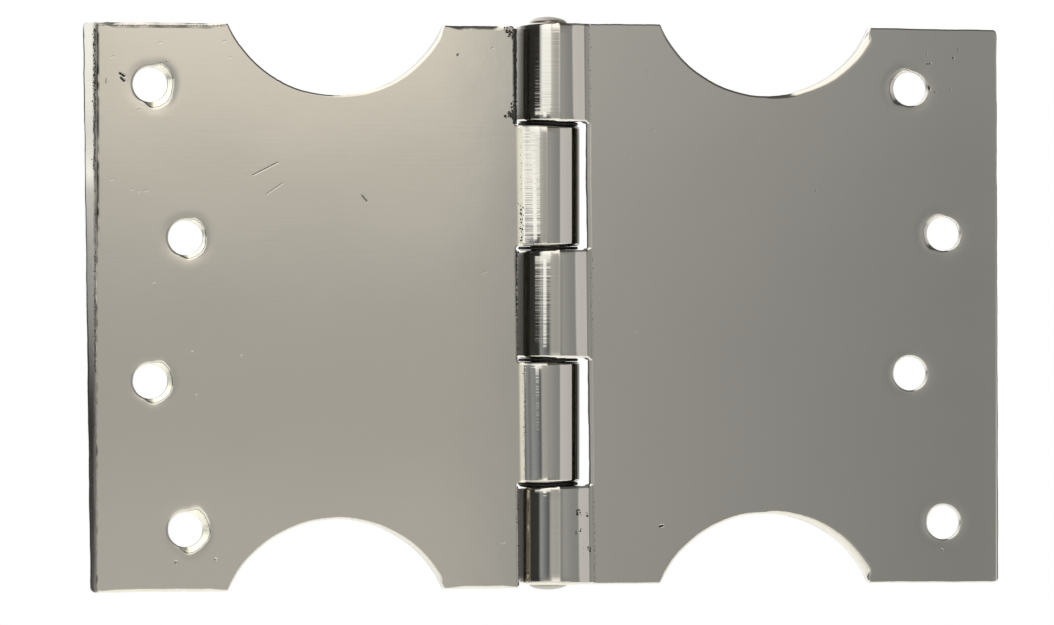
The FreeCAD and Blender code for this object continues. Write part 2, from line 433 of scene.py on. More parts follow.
        # A line of dirt and painted shade along the inner half of the rim, on the outer arm's end that is at
        # the top of the view
        top_arm = (self.edge[:, 1] < self.shift - half_height + 0.3) & (self.edge[:, 0] > bite_from_pin)
        patches = 0.5 + 0.12 * np.sin(self.edge[:, 0] / 2.1) + 0.12 * np.sin(self.edge[:, 0] / 0.7)
        top_dirt_and_shade = np.where(top_arm & ~outer, patches, 0.0)
        rings = []
        back_lines = []
        for k, x in enumerate(rim_shares):
            off = width * x + (back_guard if k == 0 else 0)
            uz = self.edge + into * off[:, None]
            depth, dirt_and_shade = self.relief(uz)
            close = np.clip(1 - off / np.where(outer, np.minimum(width, self.edge_roll[0]), width), 0, 1)
            # On the left leaf the rims by the slots are darkened too: dirt and painted shade by the gaps
            if self.side < 0:
                dirt_and_shade = np.maximum(dirt_and_shade, np.where(slotted, 0.95 * (1 - x), 0))
            if self.side < 0 and k > 0:
                dirt_and_shade = np.maximum(dirt_and_shade, top_dirt_and_shade * smooth((x - 0.35) / 0.2))
            swell = 1.6 + smooth((width - 0.5) / 0.6)
            rings.append(self.add_points(uz, depth + fall * close ** swell, dirt_and_shade))
            if k == 0:
                back_lines.append(uz)
        bevel = np.maximum(self.relief(self.edge)[0], 0)
        wall_top = bevel + fall + 0.1
        lean = left_slot_lean * self.tight * smooth(self.shift + half_height - 1.0 - self.edge[:, 1])
        under = np.where(self.slot_lip(), right_slot_lean, lean)[:, None]
        front_line = self.edge + into * (under + front_guard)
        rings += [
            self.add_points(self.edge, np.minimum(wall_top, sheet - 0.4), gap_dirt_and_shade),
            self.add_points(self.edge + into * under, sheet - front_round, gap_dirt_and_shade),
            self.add_points(self.edge + into * (under + edge_break), sheet - edge_break),
            self.add_points(self.edge + into * (under + front_round), sheet),
            self.add_points(front_line, sheet),
        ]
        self.ring_wall(rings, False)
        back_loops = [rings[0]]
        front_loops = [rings[-1]]
        front_lines = [front_line]
        turns = np.linspace(0, 2 * math.pi, 96, endpoint=False)
        facing = np.stack([np.cos(turns), np.sin(turns)], axis=1)
        for k, hole in enumerate(self.holes):
            mouth = self.mouth(k, turns)
            gape = np.clip(mouth - hole_r, 0, 9)
            wide = smooth((gape - 0.08) / 0.3)
            # The gaping mouths of the left leaf are painted bright: torn metal and a painted highlight,
            # stronger on one side of each hole
            bare_and_highlight = wide * (self.side < 0) * (0.45 + 0.55 * smooth(np.sin(turns) + 0.6))
            ragged = wide * (0.04 * np.sin(turns * 7 + k) + 0.025 * np.sin(turns * 17 + 2 * k))
            ragged = ragged * (1.0 if self.side < 0 else 0.4)
            hole_rings = []
            for grow, deep in mouth_rings:
                uz = hole + facing * (mouth + ragged + grow)[:, None]
                depth, dirt_and_shade = self.relief(uz)
                # Painted shade: a dark line round the lip where the mouth gapes
                dirt_and_shade = np.maximum(dirt_and_shade, 0.9 * wide * (grow < 0.05))
                hole_rings.append(self.add_points(uz, depth + deep, dirt_and_shade))
                if len(hole_rings) == 1:
                    back_lines.append(uz)
            # The torn skin inside the mouth runs down to the clean bore, deeper where the mouth gapes
            lip = 0.07 + 0.045 + 0.24 * gape
            for t in (0.03, 0.4, 0.9, 1.0):
                uz = hole + facing * ((mouth + ragged) * (1 - t) + hole_r * t)[:, None]
                hole_rings.append(self.add_points(uz, tear_start + (lip - tear_start) * t, 0.0, bare_and_highlight))
            start = sheet - sink_depth
            for radius, deep in (
                (hole_r, lip + 0.08), (hole_r, start - edge_break), (hole_r + edge_break, start + edge_break),
                (sink_r - edge_break, sheet - edge_break), (sink_r + edge_break, sheet - 0.01),
                (sink_r + 0.2, sheet), (sink_r + sink_guard, sheet),
            ):
                hole_rings.append(self.add_points(hole + facing * radius, deep))
            self.ring_wall(hole_rings, True)
            back_loops.append(hole_rings[0])
            front_loops.append(hole_rings[-1])
            front_lines.append(hole + facing * (sink_r + sink_guard))
        self.fill(back_loops, back_lines, self.spread(1.6, 1.0), self.relief, False)
        self.fill(front_loops, front_lines, self.spread(4.0, 4.0),
                  lambda uz: (np.full(len(uz), sheet), np.zeros(len(uz))), True)

    def spread(self, flat_step, roll_step):
        """Points for the inside of a face: an even net on the flat, columns on the roll, more near marks."""
        net = []
        rows = np.arange(-half_height + self.shift, half_height + self.shift, flat_step * 0.866)
        for k, z in enumerate(rows):
            shift = flat_step / 2 * (k % 2)
            net += [(u, z) for u in np.arange(swage_end + 1.2 + shift, self.bevel_u - 0.4, flat_step)]
        beside_ridge = np.array([-0.5, -0.3, -0.15, -0.07, 0, 0.07, 0.15, 0.3, 0.5])
        columns = np.concatenate([
            np.linspace(swage_end + 0.6, swage_end, 3, endpoint=False),
            np.linspace(swage_end, swage_end - swage_run, 10, endpoint=False),
            np.linspace(swage_end - swage_run, swage_end - swage_run - crest_run, 22, endpoint=False),
            np.linspace(swage_end - swage_run - crest_run, tip_u + 0.3, 92),
            ridge_u(self.side) + beside_ridge,
        ])
        heights = np.arange(-half_height + self.shift + 0.5, half_height + self.shift, roll_step)
        net += [(u, z) for u in columns for z in heights]
        if flat_step < 3:
            # The back face has more: rings round the holes, lines along the bevel and rings round each mark
            turns = np.linspace(0, 2 * math.pi, 48, endpoint=False)
            for k, hole in enumerate(self.holes):
                for grow in (0.9, 1.3, 1.8, 2.4, 3.1):
                    radius = self.mouth(k, turns) + grow
                    net += list(hole + np.stack([np.cos(turns), np.sin(turns)], axis=1) * radius[:, None])
            if self.side < 0:
                for z in np.arange(self.shift - half_height + 0.6, self.shift + half_height - 0.6, 0.3):
                    net += [(self.bevel_u - 0.25, z), (self.bevel_u - 0.55, z)]
                for along in np.arange(0.4, 6.5, 0.3):
                    for out in (-0.5, -0.25, -0.1, 0.0, 0.35, 0.7, 1.05, 1.4, 1.75, 2.1):
                        net.append((self.bevel_u + out, self.shift + half_height - along))
                        net.append((self.bevel_u + out, self.shift - half_height + along))
            for start, end, width, _, _ in self.marks:
                a, b = np.array(start), np.array(end)
                count = max(2, int(np.linalg.norm(b - a) / 0.25))
                for t in np.linspace(0, 1, count):
                    for turn in np.arange(0, 2 * math.pi, math.pi / 4):
                        out = np.array([math.cos(turn), math.sin(turn)])
                        for grow in (0.0, 0.5, 1.0, 1.0 + 0.08 / width, 1.0 + 0.18 / width):
                            net.append(a + (b - a) * t + width * grow * out)
        net = np.array(net)
        _, first = np.unique(np.round(net / 0.06), axis=0, return_index=True)
        return net[np.sort(first)]


def roll_tree():
    """Geometry nodes that roll the tongues of a flat blank: hollow swage, wide crest, curl round the pin."""
    tree = bpy.data.node_groups.new("roll tongues round the pin", "GeometryNodeTree")
    face = tree.interface
    face.new_socket("Blank", in_out="INPUT", socket_type="NodeSocketGeometry")
    for name in (
        "Flat start", "Back face", "Swage radius", "Swage turn", "Crest radius", "Crest turn",
        "Crest centre x", "Crest centre y", "Barrel radius", "Bend shift", "Bend lean", "Droop", "Flatten",
        "Half turn",
    ):
        face.new_socket(name, in_out="INPUT", socket_type="NodeSocketFloat")
    face.new_socket("Finish", in_out="INPUT", socket_type="NodeSocketMaterial")
    face.new_socket("Leaf", in_out="OUTPUT", socket_type="NodeSocketGeometry")
    given = add(tree, "NodeGroupInput").outputs
    known = dict(given.items())
    here = add(tree, "GeometryNodeInputPosition").outputs[0]
    known["u"], y, z = add(tree, "ShaderNodeSeparateXYZ", {0: here}).outputs
    # How far a point has gone round each of the three bends: a result, what is done, and the two values
    for name, operation, a, b in (
        ("short of flat", "SUBTRACT", "Flat start", "u"),
        ("run", "MAXIMUM", "short of flat", 0.0),
        ("swage arc", "MULTIPLY", "Swage radius", "Swage turn"),
        ("crest arc", "MULTIPLY", "Crest radius", "Crest turn"),
        ("after swage", "SUBTRACT", "run", "swage arc"),
        ("past swage", "MAXIMUM", "after swage", 0.0),
        ("after crest", "SUBTRACT", "past swage", "crest arc"),
        ("past crest", "MAXIMUM", "after crest", 0.0),
        ("whole swage", "DIVIDE", "run", "Swage radius"),
        ("swage", "MINIMUM", "whole swage", "Swage turn"),
        ("whole crest", "DIVIDE", "past swage", "Crest radius"),
        ("crest", "MINIMUM", "whole crest", "Crest turn"),
        ("crest back", "MULTIPLY", "crest", -1.0),
        ("curl", "DIVIDE", "past crest", "Barrel radius"),
        ("curl back", "MULTIPLY", "curl", -1.0),
        ("flat u", "MAXIMUM", "u", "Flat start"),
        ("swage y", "SUBTRACT", "Back face", "Swage radius"),
    ):
        values = {0: known.get(a, a), 1: known.get(b, b)}
        known[name] = add(tree, "ShaderNodeMath", values, operation=operation).outputs[0]
    point = add(tree, "ShaderNodeCombineXYZ", {0: known["flat u"], 1: y, 2: z}).outputs[0]
    swage_at = add(tree, "ShaderNodeCombineXYZ", {0: given["Flat start"], 1: known["swage y"]}).outputs[0]
    crest_at = add(tree, "ShaderNodeCombineXYZ", {
        0: given["Crest centre x"], 1: given["Crest centre y"]}).outputs[0]
    for bend in (
        {"Center": swage_at, "Angle": known["swage"]},
        {"Center": crest_at, "Angle": known["crest back"]},
        {"Angle": known["curl back"]},
    ):
        point = add(tree, "ShaderNodeVectorRotate", {"Vector": point, **bend}).outputs[0]
    # The bend line stands a little out of square to the pin, on the back of the knuckles only
    known["x"], known["y"], known["z"] = add(tree, "ShaderNodeSeparateXYZ", {0: point}).outputs
    for name, value, low, high, start, end, kind in (
        ("rising", "x", 0.5 * MM, 5.5 * MM, 0.0, 1.0, "SMOOTHSTEP"),
        ("falling", "x", 9 * MM, 19 * MM, 1.0, 0.0, "SMOOTHSTEP"),
        ("on the back", "y", -2 * MM, -0.5 * MM, 1.0, 0.0, "LINEAR"),
    ):
        values = {"Value": known[value], "From Min": low, "From Max": high, "To Min": start, "To Max": end}
        known[name] = add(tree, "ShaderNodeMapRange", values, interpolation_type=kind).outputs[0]
    # The flat droops a little to its outer end, and the whole leaf is pressed a little flat
    for name, operation, a, b in (
        ("on the bend", "MULTIPLY", "rising", "falling"),
        ("share", "MULTIPLY", "on the bend", "on the back"),
        ("lean", "MULTIPLY", "z", "Bend lean"),
        ("offset", "ADD", "lean", "Bend shift"),
        ("shift", "MULTIPLY", "offset", "share"),
        ("new x", "ADD", "x", "shift"),
        ("past knuckle", "SUBTRACT", "new x", 12 * MM),
        ("reach", "MAXIMUM", "past knuckle", 0.0),
        ("fall", "MULTIPLY", "reach", "Droop"),
        ("new z", "SUBTRACT", "z", "fall"),
        ("new y", "MULTIPLY", "y", "Flatten"),
    ):
        values = {0: known.get(a, a), 1: known.get(b, b)}
        known[name] = add(tree, "ShaderNodeMath", values, operation=operation).outputs[0]
    point = add(tree, "ShaderNodeCombineXYZ", {
        0: known["new x"], 1: known["new y"], 2: known["new z"]}).outputs[0]
    point = add(tree, "ShaderNodeVectorRotate", {"Vector": point, "Angle": given["Half turn"]},
                rotation_type="Y_AXIS").outputs[0]
    rolled = add(tree, "GeometryNodeSetPosition", {"Geometry": given["Blank"], "Position": point}).outputs[0]
    whole = add(tree, "GeometryNodeRealizeInstances", {"Geometry": rolled}).outputs[0]
    done = add(tree, "GeometryNodeSetMaterial", {"Geometry": whole, "Material": given["Finish"]}).outputs[0]
    add(tree, "NodeGroupOutput", {"Leaf": done})
    return tree


def roll_values(half_turn, finish):
    """The roll's named inputs, for the right leaf, or for the left one, which is turned half round."""
    is_right = half_turn == 0
    return {
        "Flat start": swage_end * MM, "Back face": back_y * MM,
        "Swage radius": swage_r * MM, "Swage turn": swage_turn,
        "Crest radius": roll_start_r * MM, "Crest turn": swage_turn + start_turn,
        "Crest centre x": start_x * MM, "Crest centre y": start_y * MM, "Barrel radius": barrel_r * MM,
        "Bend shift": (right_bend_shift if is_right else left_bend_shift) * MM, "Bend lean": bend_lean,
        "Droop": right_droop if is_right else 0.0, "Flatten": pressed,
        "Half turn": half_turn, "Finish": finish,
    }


def run_tree(obj, tree, values):
    """Runs a geometry tree on an object with its named inputs, and leaves the result as a plain mesh."""
    modifier = obj.modifiers.new(tree.name, "NODES")
    modifier.node_group = tree
    for item in tree.interface.items_tree:
        if item.item_type == "SOCKET" and item.in_out == "INPUT" and item.name in values:
            modifier[item.identifier] = values[item.name]
    evaluated = obj.evaluated_get(bpy.context.evaluated_depsgraph_get())
    mesh = bpy.data.meshes.new_from_object(evaluated)
    obj.modifiers.remove(modifier)
    obj.data = mesh


def new_object(name, mesh):
    """A mesh as an object in the scene."""
    obj = bpy.data.objects.new(name, mesh)
    bpy.context.scene.collection.objects.link(obj)
    return obj


def solid_object(name, verts, faces, finish):
    """A piece from points in metres and its faces, with its finish."""
    mesh = bpy.data.meshes.new(name)
    mesh.from_pydata(verts, [], faces)
    mesh.update()
    mesh.materials.append(finish)
    return new_object(name, mesh)


def leaf_object(name, leaf, half_turn, finish, tree):
    """A leaf's blank as a mesh, with its dirt and wear, and the shade and highlights painted with them, as
    attributes, rolled into shape.
    """
    leaf.build()
    mesh = bpy.data.meshes.new(name)
    mesh.from_pydata([tuple(c * MM for c in p) for p in leaf.points], [], leaf.faces)
    brushed = [float(smooth((swage_end - 0.5 - p[0]) / 1.5)) for p in leaf.points]
    bare_and_highlight = np.maximum(leaf.torn_and_highlight, leaf.burnish_and_highlight(np.array(leaf.points)))
    for layer, values in (("dirt_and_shade", leaf.dirt_and_shade), ("torn_and_highlight", bare_and_highlight), ("brushed", brushed)):
        mesh.attributes.new(layer, "FLOAT", "POINT").data.foreach_set("value", np.array(values, np.float32))
    obj = new_object(name, mesh)
    run_tree(obj, tree, roll_values(half_turn, finish))
    obj.data.shade_smooth()
    return obj


def residue_tree():
    """Geometry nodes that set one crumb of residue, turned at random, on every point of a trail."""
    tree = bpy.data.node_groups.new("crumbs along a trail", "GeometryNodeTree")
    tree.interface.new_socket("Trail", in_out="INPUT", socket_type="NodeSocketGeometry")
    tree.interface.new_socket("Flatness", in_out="INPUT", socket_type="NodeSocketFloat")
    tree.interface.new_socket("Seed", in_out="INPUT", socket_type="NodeSocketInt")
    tree.interface.new_socket("Finish", in_out="INPUT", socket_type="NodeSocketMaterial")
    tree.interface.new_socket("Crumbs", in_out="OUTPUT", socket_type="NodeSocketGeometry")
    given = add(tree, "NodeGroupInput").outputs
    crumb = add(tree, "GeometryNodeMeshIcoSphere", {"Radius": 1.0, "Subdivisions": 1}).outputs[0]
    size = add(tree, "GeometryNodeInputNamedAttribute", {"Name": "grain"}, data_type="FLOAT").outputs[0]
    thin = add(tree, "ShaderNodeMath", {0: size, 1: given["Flatness"]}, operation="MULTIPLY").outputs[0]
    scale = add(tree, "ShaderNodeCombineXYZ", {0: size, 1: thin, 2: size}).outputs[0]
    spin = add(tree, "FunctionNodeRandomValue", {
        "Min": 0.0, "Max": 6.28, "Seed": given["Seed"]}, data_type="FLOAT")
    turn = add(tree, "ShaderNodeCombineXYZ", {1: spin.outputs[1]}).outputs[0]
    crumbs = add(tree, "GeometryNodeInstanceOnPoints", {
        "Points": given["Trail"], "Instance": crumb, "Rotation": turn, "Scale": scale}).outputs[0]
    whole = add(tree, "GeometryNodeRealizeInstances", {"Geometry": crumbs}).outputs[0]
    done = add(tree, "GeometryNodeSetMaterial", {"Geometry": whole, "Material": given["Finish"]}).outputs[0]
    add(tree, "NodeGroupOutput", {"Crumbs": done})
    return tree


def residue_object(name, trails, half_turn, finish, tree, roll):
    """Crumbs of black polishing residue on one leaf, laid along trails on the blank and rolled with it."""
    points = []
    sizes = []
    for start, end, sunk, spacing, scatter, smallest, largest in trails:
        a, b = np.array(start), np.array(end)
        for t in np.arange(0, 1, spacing / max(np.linalg.norm(b - a), spacing)):
            u, z = a + (b - a) * t + rng.normal(0, scatter, 2)
            points.append((u * MM, (back_y + sunk) * MM, z * MM))
            sizes.append((smallest + (largest - smallest) * rng.random() ** 2) * MM)
    mesh = bpy.data.meshes.new(name)
    mesh.from_pydata(points, [], [])
    mesh.attributes.new("grain", "FLOAT", "POINT").data.foreach_set("value", np.array(sizes, np.float32))
    obj = new_object(name, mesh)
    run_tree(obj, tree, {"Flatness": 0.5, "Seed": 5, "Finish": finish})
    run_tree(obj, roll, roll_values(half_turn, finish))
    return obj


def grease_and_shade_object(name, finish):
    """Old grease and painted shade: dark rings packed round the pin in the four gaps between the knuckles."""
    profile = ((3.2, -0.25), (5.3, -0.25), (5.5, 0.0), (5.3, 0.25), (3.2, 0.25))
    half_gap = knuckle_gap / 2
    count = 48
    verts = []
    faces = []
    gaps = (end_knuckle_z - half_gap, middle_z + half_gap, -middle_z - half_gap, half_gap - end_knuckle_z)
    for level in gaps:
        start = len(verts)
        for r, z in profile:
            for k in range(count):
                turn = 2 * math.pi * k / count
                verts.append((r * math.cos(turn) * MM, r * math.sin(turn) * MM, (level + z) * MM))
        for ring in range(len(profile)):
            a = start + ring * count
            b = start + (ring + 1) % len(profile) * count
            faces += [(a + k, a + (k + 1) % count, b + (k + 1) % count, b + k) for k in range(count)]
    return solid_object(name, verts, faces, finish)


def slot_dirt_object(name, finish):
    """Dry polishing dirt caked on the left leaf's slot edges, beside the knuckles of the right leaf."""
    step = 0.4
    corners = 5
    verts = []
    faces = []
    for low, high in ((-51.1, -32.6), (-10.2, 10.2), (32.6, 49.9)):
        start = len(verts)
        levels = np.arange(low, high, step)
        for z in levels:
            rough = rng.normal(0, 0.05, 3)
            for x, y in (
                (-7.4, -3.6), (-6.6 + rough[0], -3.3), (-6.2 + 0.4 * rough[1], -2.7),
                (-6.4, -2.2), (-7.4, -2.3),
            ):
                verts.append((x * MM, (y + 0.4 * rough[2]) * MM, z * MM))
        for k in range(len(levels) - 1):
            a = start + corners * k
            b = a + corners
            faces += [(a + j, a + (j + 1) % corners, b + (j + 1) % corners, b + j) for j in range(corners)]
        faces.append(tuple(range(start + corners - 1, start - 1, -1)))
        faces.append(tuple(range(len(verts) - corners, len(verts))))
    return solid_object(name, verts, faces, finish)


def pin_object(name, finish):
    """The pin with a peened dome at each end, turned from its profile."""
    pin_r = 3.175
    rivet_r = 3.475
    top = pin_high.z / MM
    bottom = pin_low.z / MM
    profile = []
    for apex, base in ((bottom, -half_height), (top, half_height)):
        rise = apex - base
        dome = []
        for t in np.linspace(0.06, math.pi / 2, 12):
            height = base + rise * (1 - (1 - math.cos(t)) * 0.92) - rise * 0.08 * (t > 1.5)
            dome.append((rivet_r * math.sin(t), height))
        dome += [(rivet_r, base + rise * 0.02), (rivet_r - 0.1, base)]
        dome += [(pin_r + 0.04, base), (pin_r, base - rise * 0.06)]
        profile += dome if apex < 0 else dome[::-1]
    count = 96
    verts = [(0, 0, bottom * MM)]
    for r, z in profile:
        for k in range(count):
            turn = 2 * math.pi * k / count
            dent = 0.05 * (math.sin(3 * turn + 0.6) - 1) * (1 - r / rivet_r) if abs(z) > half_height else 0
            bump = math.copysign(dent, -z)
            verts.append((r * math.sin(turn) * MM, -r * math.cos(turn) * MM, (z + bump) * MM))
    verts.append((0, 0, top * MM))
    faces = [(0, 1 + k, 1 + (k + 1) % count) for k in range(count)]
    for ring in range(len(profile) - 1):
        a = 1 + ring * count
        b = a + count
        faces += [(a + k, b + k, b + (k + 1) % count, a + (k + 1) % count) for k in range(count)]
    last = len(verts) - 1
    a = 1 + (len(profile) - 1) * count
    faces += [(last, a + (k + 1) % count, a + k) for k in range(count)]
    obj = solid_object(name, verts, faces, finish)
    obj.data.shade_smooth()
    return obj


def nickel(name, colour, dull):
    """Polished nickel plate on steel: a warm grey mirror with fine polishing lines along the leaf.

    Dirt, and shade painted into the knuckle gaps and along some edges, is a dark matt stain where the
    dirt-and-shade attribute is high. Torn or rubbed metal with a painted highlight, where the
    torn-and-highlight attribute is high, is bright and satin.
    """
    line_long = 12 * MM
    line_apart = 0.4 * MM
    line_depth = 0.001 * MM
    cloud_size = 12 * MM
    ripple_depth = 0.012 * MM
    material = bpy.data.materials.new(name)
    material.use_nodes = True
    tree = material.node_tree
    tree.nodes.clear()
    place = add(tree, "ShaderNodeTexCoord").outputs["Object"]
    # Polishing lines are really a few hundredths of a millimetre apart; drawn wider apart so that they show
    lines_at = add(tree, "ShaderNodeMapping", {
        "Vector": place, "Scale": (1 / line_long, 1 / line_long, 1 / line_apart)}).outputs[0]
    lines = add(tree, "ShaderNodeTexNoise", {"Vector": lines_at, "Scale": 1.0, "Detail": 3.0}).outputs["Fac"]
    cloud = add(tree, "ShaderNodeTexNoise", {
        "Vector": place, "Scale": 1 / cloud_size, "Detail": 4.0}).outputs["Fac"]
    rough = add(tree, "ShaderNodeMapRange", {
        "Value": cloud, "From Min": 0.3, "From Max": 0.7,
        "To Min": dull * 0.7, "To Max": dull * 1.4}).outputs[0]
    # The lines are six times as deep on the knuckles as on the flat
    brushed = add(tree, "ShaderNodeAttribute", attribute_name="brushed").outputs["Fac"]
    depth = add(tree, "ShaderNodeMath", {0: brushed, 1: 5.0, 2: 1.0}, operation="MULTIPLY_ADD").outputs[0]
    lines = add(tree, "ShaderNodeMath", {0: lines, 1: depth}, operation="MULTIPLY").outputs[0]
    relief = add(tree, "ShaderNodeBump", {
        "Height": lines, "Strength": 1.0, "Distance": line_depth}).outputs[0]
    ripple = add(tree, "ShaderNodeBump", {
        "Height": cloud, "Strength": 1.0, "Distance": ripple_depth, "Normal": relief}).outputs[0]
    # Dirt and painted shade: where this attribute is high the metal turns a dark matt stain
    dirt_and_shade = add(tree, "ShaderNodeAttribute", attribute_name="dirt_and_shade").outputs["Fac"]
    dirtied_and_shaded = add(tree, "ShaderNodeMix", {
        "Factor": dirt_and_shade, "A": linear(colour), "B": linear("#2b2722")}, data_type="RGBA").outputs["Result"]
    # Torn metal and painted highlight: where this attribute is high, a near-white colour brightens the torn
    # mouths and the rubbed hollow
    torn_and_highlight = add(tree, "ShaderNodeAttribute", attribute_name="torn_and_highlight").outputs["Fac"]
    tint = add(tree, "ShaderNodeMix", {
        "Factor": torn_and_highlight, "A": dirtied_and_shaded, "B": linear("#fffbe6")}, data_type="RGBA").outputs["Result"]
    rough = add(tree, "ShaderNodeMix", {"Factor": torn_and_highlight, "A": rough, "B": 0.3}).outputs[0]
    rough = add(tree, "ShaderNodeMix", {"Factor": dirt_and_shade, "A": rough, "B": 0.55}).outputs[0]
    surface = add(tree, "ShaderNodeBsdfPrincipled", {
        "Base Color": tint, "Metallic": 1.0, "Roughness": rough, "Normal": ripple}).outputs[0]
    add(tree, "ShaderNodeOutputMaterial", {"Surface": surface})
    return material


def soil(name, colour):
    """Black polishing residue, and old grease that is also painted shade in the knuckle gaps: dark, matt and
    dry, so it reads as dirt in every crease and as shade in the gaps.
    """
    material = bpy.data.materials.new(name)
    material.use_nodes = True
    surface = material.node_tree.nodes["Principled BSDF"]
    surface.inputs["Base Color"].default_value = linear(colour)
    surface.inputs["Roughness"].default_value = 0.7
    return material


leaf_nickel = nickel("polished nickel plate", "#dad6cb", 0.05)
pin_nickel = nickel("peened nickel plate", "#a8a297", 0.3)
roll = roll_tree()

# Pits and scratches in the back faces: start, end, half width, depth and how much dirt is in them
right_marks = [
    ((75.6, 47.1), (75.6, 47.1), 0.22, 0.05, 0.9), ((74.6, 45.6), (74.7, 45.5), 0.25, 0.05, 0.8),
    ((69.7, 46.2), (69.7, 46.2), 0.2, 0.05, 0.7), ((69.7, 44.4), (70.4, 44.5), 0.2, 0.05, 0.7),
    ((70.1, 40.1), (70.1, 39.8), 0.32, 0.08, 1.0), ((71.2, 39.2), (71.2, 39.2), 0.22, 0.05, 0.9),
    ((74.1, 39.8), (74.1, 39.8), 0.2, 0.05, 0.8), ((72.5, -44.7), (72.6, -44.7), 0.22, 0.05, 0.8),
    ((19.8, -40.3), (20.3, -40.2), 0.3, 0.08, 1.0),
]
left_marks = [
    ((54.4, -23.1), (49.9, -25.4), 0.16, 0.04, 0.75), ((51.9, -19.7), (49.0, -21.7), 0.13, 0.03, 0.6),
    ((34.7, -19.6), (33.8, -18.5), 0.18, 0.05, 0.7), ((78.2, -41.1), (77.4, -40.6), 0.25, 0.06, 1.0),
    ((78.0, -40.3), (77.4, -39.7), 0.25, 0.06, 1.0), ((68.2, 46.0), (68.2, 46.2), 0.3, 0.06, 0.5),
    ((61.2, 45.5), (61.0, 45.7), 0.2, 0.05, 0.3), ((17.3, -44.9), (17.3, -44.9), 0.3, 0.05, 0.7),
]
# Faint nicks without dirt: place and length of each, all nearly level like the polishing lines
left_nicks = (
    (79.5, -44.1, 0.5), (74.8, -34.7, 0.5), (71.0, -46.7, 0.4), (59.6, -47.0, 0.5), (58.5, -44.1, 0.3),
    (76.0, -20.5, 0.5), (74.8, -20.1, 0.3), (73.5, -20.3, 0.6), (79.6, -22.2, 0.4), (72.1, -3.9, 0.4),
    (65.3, 8.4, 0.3), (56.5, 9.1, 0.3), (64.6, 16.2, 0.3), (10.2, 43.1, 0.8), (12.9, -5.8, 0.7),
    (11.1, -46.2, 0.4),
)
right_nicks = (
    (15.2, -4.9, 0.5), (14.1, 26.7, 0.4), (17.4, 42.2, 0.4), (18.5, 31.6, 0.6), (35.6, 17.6, 0.3),
    (37.8, 30.4, 0.3),
)
nick_width = 0.11
nick_depth = 0.012
for marks, nicks, lean in ((left_marks, left_nicks, 0.3), (right_marks, right_nicks, -0.2)):
    for u, z, long in nicks:
        marks.append(((u - long / 2, z), (u + long / 2, z + lean * long), nick_width, nick_depth, 0.0))
# Three more pits and scratches on the flats
right_marks.append(((48.8, 20.9), (48.8, 20.9), 0.16, 0.03, 0.9))
left_marks.append(((80.7, -40.1), (80.7, -39.2), 0.11, 0.02, 0.4))
left_marks.append(((62.1, -3.2), (62.1, -3.2), 0.14, 0.03, 0.8))
right = Leaf(
    slots=[(moving_bottom_z - knuckle_gap, moving_top_z + knuckle_gap),
           (-moving_top_z - knuckle_gap, -moving_bottom_z + knuckle_gap)],
    slot_x=6.25, narrow=0.15, wide=0.6, shift=0.0, mouths=(0.8, 0.65, 0.03, 0.05), tear_degrees=(15, 85),
    bevel=(30.0, 30.0), bevel_back=0.0, edge_roll=(0.25, 0.1), bite_rolls=(1.9, 0.4),
    edge_rolls=(0.25, 0.25), side=1, marks=right_marks)
past_end = half_height + 20
left = Leaf(
    slots=[(moving_top_z, past_end), (-middle_z - knuckle_gap, middle_z + knuckle_gap),
           (-past_end, -moving_top_z)],
    slot_x=7.15, narrow=0.7, wide=2.0, shift=left_leaf_drop, mouths=(1.2, 0.85, 0.6, 1.05),
    tear_degrees=(12, 100), bevel=(13.0, 21.3), bevel_back=0.45, edge_roll=(0.05, 0.02),
    bite_rolls=(0.3, 0.7), edge_rolls=(0.5, 0.9), side=-1, marks=left_marks)

right_leaf = leaf_object("right_leaf_plate", right, 0.0, leaf_nickel, roll)
left_leaf = leaf_object("left_leaf_plate", left, math.pi, leaf_nickel, roll)
pin = pin_object("riveted_pin", pin_nickel)
black = soil("black polishing residue", "#2a2621")
# Old grease, very dark: also painted shade in the gaps between the knuckles
grease_and_shade = soil("old grease and painted shade", "#14120f")
# Trails of crumbs: start, end, depth, spacing, scatter, smallest and largest crumb
right_trails = [
    ((6.95, 33.3), (6.95, 50.5), 0.0, 0.3, 0.1, 0.03, 0.11),
    ((6.95, -9.5), (6.95, 9.5), 0.0, 0.3, 0.1, 0.03, 0.11),
    ((6.95, -50.5), (6.95, -33.3), 0.0, 0.3, 0.1, 0.03, 0.12),
    ((3.6, -37.4), (3.7, -38.0), 0.02, 0.12, 0.1, 0.1, 0.3),
    ((6.0, -44.2), (6.1, -44.8), 0.02, 0.12, 0.12, 0.1, 0.26),
    ((5.4, -37.9), (5.5, -38.6), 0.02, 0.14, 0.1, 0.1, 0.3),
    ((4.2, -40.6), (4.3, -41.2), 0.02, 0.14, 0.14, 0.1, 0.28),
    ((5.6, -43.9), (5.7, -44.4), 0.02, 0.2, 0.1, 0.08, 0.2),
    ((69.8, 38.3), (69.2, 37.3), 0.0, 0.4, 0.1, 0.05, 0.16),
    ((70.1, 40.3), (70.1, 39.7), 0.0, 0.25, 0.08, 0.08, 0.2),
    ((76.2, 12.3), (75.4, 10.7), 0.0, 0.5, 0.1, 0.05, 0.12),
    ((3.9, -37.2), (4.5, -38.4), 0.02, 0.2, 0.1, 0.08, 0.24),
    ((3.2, -41.0), (3.5, -41.6), 0.02, 0.2, 0.1, 0.08, 0.22),
    ((4.6, -43.0), (4.7, -46.2), 0.02, 0.7, 0.15, 0.06, 0.16),
]
